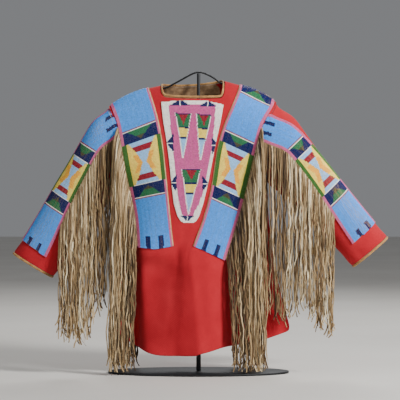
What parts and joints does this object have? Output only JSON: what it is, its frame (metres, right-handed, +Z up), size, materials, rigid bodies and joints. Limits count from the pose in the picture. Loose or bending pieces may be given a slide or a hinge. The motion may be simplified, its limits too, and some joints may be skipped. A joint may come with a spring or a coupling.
{
  "type": "beaded cloth shirt on a display stand",
  "caption": "T-cut pull-over wool shirt with beaded shoulder and sleeve strips, a tapered beaded bib and long hide fringe, worn by a flat-based hanger stand.",
  "frame": {"origin": "centre of the base plate's underside, on the floor under the post", "axes": "+Z up along the post, the shirt's front faces -Y, +X towards the viewer's right along the shoulders"},
  "size_m": [1.0527, 0.204, 0.8457],
  "materials": {
    "red_wool": "matt fulled wool",
    "blue_beadwork": "glossy seed beads on hide",
    "pink_beadwork": "glossy seed beads on hide",
    "pale_hide": "smoked and brushed hide",
    "brown_hide": "worn brown hide",
    "black_iron": "satin black"
  },
  "bodies": {
    "root": {"panel_front": "red_wool", "panel_back": "red_wool", "sleeve_left": "red_wool", "sleeve_right": "red_wool", "shoulder_strip_left": "blue_beadwork", "shoulder_strip_right": "blue_beadwork", "sleeve_strip_left": "blue_beadwork", "sleeve_strip_right": "blue_beadwork", "bib": "pink_beadwork", "cuff_binding_left": "pale_hide", "cuff_binding_right": "pale_hide", "neck_binding": "pale_hide", "neck_facing": "brown_hide", "fringe_front_left": "pale_hide", "fringe_front_right": "pale_hide", "fringe_back_left": "pale_hide", "fringe_back_right": "pale_hide", "fringe_sleeve_left": "pale_hide", "fringe_sleeve_right": "pale_hide", "stand_base": "black_iron", "stand_post": "black_iron", "stand_rod": "black_iron", "stand_hanger": "black_iron"}
  },
  "joints": []
}
